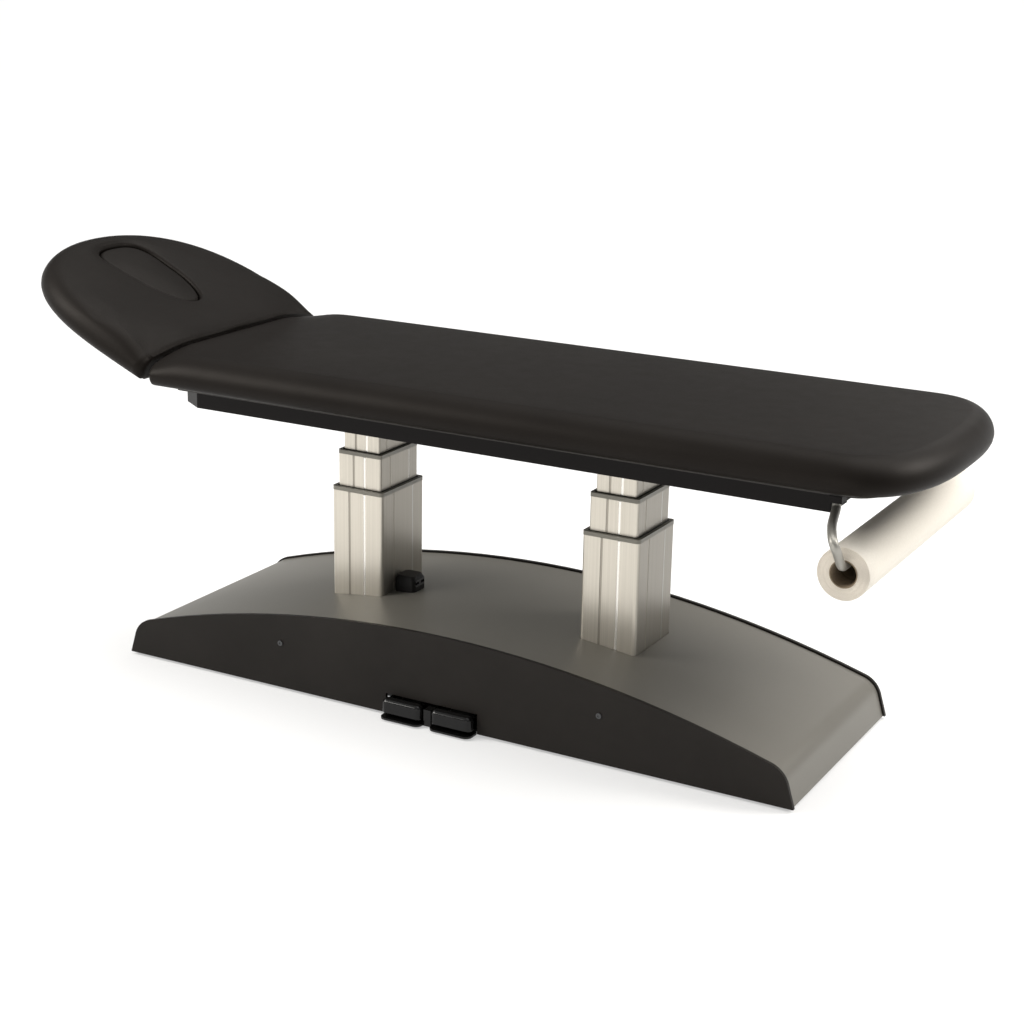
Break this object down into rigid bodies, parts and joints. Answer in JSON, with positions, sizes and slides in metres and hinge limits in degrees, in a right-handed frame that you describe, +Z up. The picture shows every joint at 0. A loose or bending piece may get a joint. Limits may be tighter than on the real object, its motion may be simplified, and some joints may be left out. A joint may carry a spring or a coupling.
{
  "type": "examination table",
  "caption": "Electric two-section examination table on lifting columns with an arched base, a tilting head section with a plugged face hole, a foot control and a paper roll.",
  "frame": {"origin": "on the floor, in the middle of the whole part's length and width as stored", "axes": "+X along the table towards its foot end and the paper roll, +Y across it away from the foot control, +Z up"},
  "size_m": [1.9998, 0.683, 0.832],
  "materials": {
    "frame_black": "satin black powder coat",
    "cover_grey": "warm grey satin powder coat",
    "panel_black": "matt black-brown panels",
    "steel_dark": "dark painted steel",
    "zinc": "zinc-plated steel",
    "silver": "champagne silver anodised, fine lengthways lines",
    "collar": "dark grey plastic",
    "wiper": "pale sliding plastic",
    "black_plastic": "black plastic",
    "gloss_black": "glossy black plastic",
    "cable": "black cable sheath",
    "vinyl": "black coated upholstery cloth over foam",
    "board": "plywood stained black",
    "chrome_bar": "satin chrome",
    "card": "cardboard",
    "paper": "cream crepe paper"
  },
  "bodies": {
    "base": {"base_chassis": "steel_dark", "levelling_feet": "zinc", "base_cover": "cover_grey", "front_side_panel": "panel_black", "rear_side_panel": "panel_black", "panel_screws": "steel_dark", "column_foot_plates": "steel_dark", "foot_plate_bolts": "zinc", "left_outer_column": "silver", "right_outer_column": "silver", "left_outer_collar": "collar", "right_outer_collar": "collar", "left_column_motor": "steel_dark", "right_column_motor": "steel_dark", "control_box": "black_plastic", "motor_cables": "cable", "supply_cables": "cable", "mains_inlet": "black_plastic", "socket_block": "black_plastic", "socket_faces": "steel_dark", "foot_control_housing": "black_plastic", "foot_control_tray": "gloss_black"},
    "power_switch": {"power_switch": "gloss_black"},
    "up_pedal": {"up_pedal": "gloss_black"},
    "down_pedal": {"down_pedal": "gloss_black"},
    "left_lower_screw": {"left_lower_screw": "zinc"},
    "right_lower_screw": {"right_lower_screw": "zinc"},
    "left_middle": {"left_middle_column": "silver", "left_middle_collar": "collar", "left_transfer_gearbox": "steel_dark", "left_middle_glides": "wiper"},
    "right_middle": {"right_middle_column": "silver", "right_middle_collar": "collar", "right_transfer_gearbox": "steel_dark", "right_middle_glides": "wiper"},
    "left_upper_screw": {"left_upper_screw": "zinc"},
    "right_upper_screw": {"right_upper_screw": "zinc"},
    "top": {"left_inner_column": "silver", "right_inner_column": "silver", "inner_glides": "wiper", "nut_plates": "steel_dark", "top_plates": "steel_dark", "top_plate_bolts": "zinc", "frame_side_rails": "frame_black", "frame_cross_rails": "frame_black", "body_board": "board", "body_cushion": "vinyl", "hinge_brackets": "frame_black", "hinge_pins": "zinc", "roll_holder_plate": "frame_black", "roll_holder_screws": "zinc", "roll_holder_arm": "chrome_bar", "roll_holder_bar": "chrome_bar"},
    "head": {"hinge_arms": "frame_black", "head_board": "board", "head_cushion": "vinyl"},
    "plug": {"face_plug": "vinyl"},
    "roll": {"roll_core": "card", "paper_roll": "paper"}
  },
  "joints": [
    {"name": "lift", "type": "slide", "parent": "base", "child": "top", "axis": [0, 0, 1], "range_m": [-0.12, 0.28]},
    {"name": "left_middle_slide", "type": "slide", "parent": "base", "child": "left_middle", "axis": [0, 0, 1], "range_m": [-0.0601, 0.1401]},
    {"name": "right_middle_slide", "type": "slide", "parent": "base", "child": "right_middle", "axis": [0, 0, 1], "range_m": [-0.0601, 0.1401]},
    {"name": "left_lower_screw_turn", "type": "hinge", "parent": "base", "child": "left_lower_screw", "pos_m": [-0.244, -0.024, 0.2], "axis": [0, 0, 1], "range_deg": [-2705, 6305]},
    {"name": "right_lower_screw_turn", "type": "hinge", "parent": "base", "child": "right_lower_screw", "pos_m": [0.332, -0.024, 0.2], "axis": [0, 0, 1], "range_deg": [-2705, 6305]},
    {"name": "left_upper_screw_turn", "type": "hinge", "parent": "left_middle", "child": "left_upper_screw", "pos_m": [-0.244, 0.024, 0.25], "axis": [0, 0, 1], "range_deg": [-2705, 6305]},
    {"name": "right_upper_screw_turn", "type": "hinge", "parent": "right_middle", "child": "right_upper_screw", "pos_m": [0.332, 0.024, 0.25], "axis": [0, 0, 1], "range_deg": [-2705, 6305]},
    {"name": "head_tilt", "type": "hinge", "parent": "top", "child": "head", "pos_m": [-0.609, 0, 0.606], "axis": [0, 1, 0], "range_deg": [-83, 0]},
    {"name": "face_plug_lift", "type": "slide", "parent": "head", "child": "plug", "axis": [0.3907, 0, 0.9205], "range_m": [0, 0.09]},
    {"name": "roll_spin", "type": "hinge", "parent": "top", "child": "roll", "pos_m": [0.866, 0.016, 0.4727], "axis": [0, 1, 0], "continuous": true},
    {"name": "up_pedal_press", "type": "hinge", "parent": "base", "child": "up_pedal", "pos_m": [0.096, -0.226, 0.028], "axis": [1, 0, 0], "range_deg": [0, 4.5], "stiffness_Nm_per_rad": 12, "springref_deg": -6.88},
    {"name": "down_pedal_press", "type": "hinge", "parent": "base", "child": "down_pedal", "pos_m": [-0.016, -0.226, 0.028], "axis": [1, 0, 0], "range_deg": [0, 4.5], "stiffness_Nm_per_rad": 12, "springref_deg": -6.88},
    {"name": "power_switch_turn", "type": "hinge", "parent": "base", "child": "power_switch", "pos_m": [0.0095, 0.2515, 0.07], "axis": [1, 0, 0], "range_deg": [0, 14]}
  ],
  "couplings": [
    {"joint": "left_middle_slide", "follows": "lift", "ratio": 0.5},
    {"joint": "right_middle_slide", "follows": "lift", "ratio": 0.5},
    {"joint": "left_lower_screw_turn", "follows": "lift", "rad_per_m": 392.7},
    {"joint": "left_upper_screw_turn", "follows": "lift", "rad_per_m": 392.7},
    {"joint": "right_lower_screw_turn", "follows": "lift", "rad_per_m": 392.7},
    {"joint": "right_upper_screw_turn", "follows": "lift", "rad_per_m": 392.7}
  ]
}
